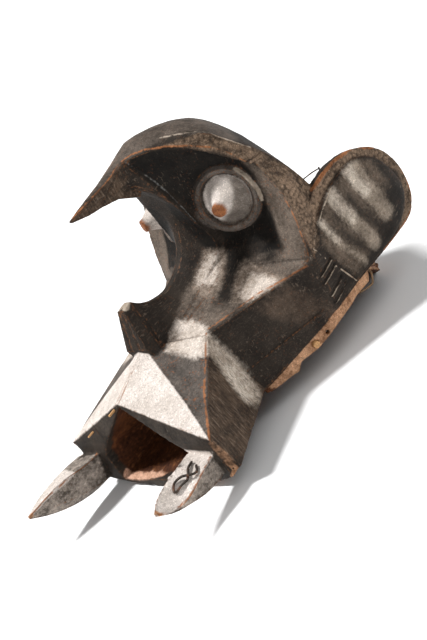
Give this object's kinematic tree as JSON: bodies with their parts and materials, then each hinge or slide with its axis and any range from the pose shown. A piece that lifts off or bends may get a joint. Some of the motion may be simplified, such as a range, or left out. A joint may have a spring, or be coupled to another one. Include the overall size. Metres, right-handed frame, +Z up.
{
  "type": "elephant helmet mask",
  "caption": "Carved wooden helmet mask with an elephant's open mouth, tusks, curved trunk, conical eyes and domed ears, worn over the head.",
  "frame": {"origin": "on the floor under the middle of the bounding box, as the mask lies on its hollow underside", "axes": "+Z up from the rim to the crest, -Y towards the tusks and the mouth, +Y towards the ears, +X to the mask's left side, the one with the repaired tusk"},
  "size_m": [0.28, 0.549, 0.3262],
  "materials": {
    "painted_wood": "dark smoked and rubbed paint with kaolin white bands, worn to bare wood on the edges",
    "dark_iron": "dull, lightly rusted",
    "light_wood": "bare split wood",
    "fibre_cord": "dry twisted plant fibre"
  },
  "bodies": {
    "root": {"mask_body": "painted_wood", "repair_wire": "dark_iron", "crest_nail": "dark_iron", "ear_nail": "dark_iron", "rim_peg": "light_wood", "mouth_pin_upper": "light_wood", "mouth_pin_lower": "light_wood", "rim_tie": "fibre_cord"}
  },
  "joints": []
}
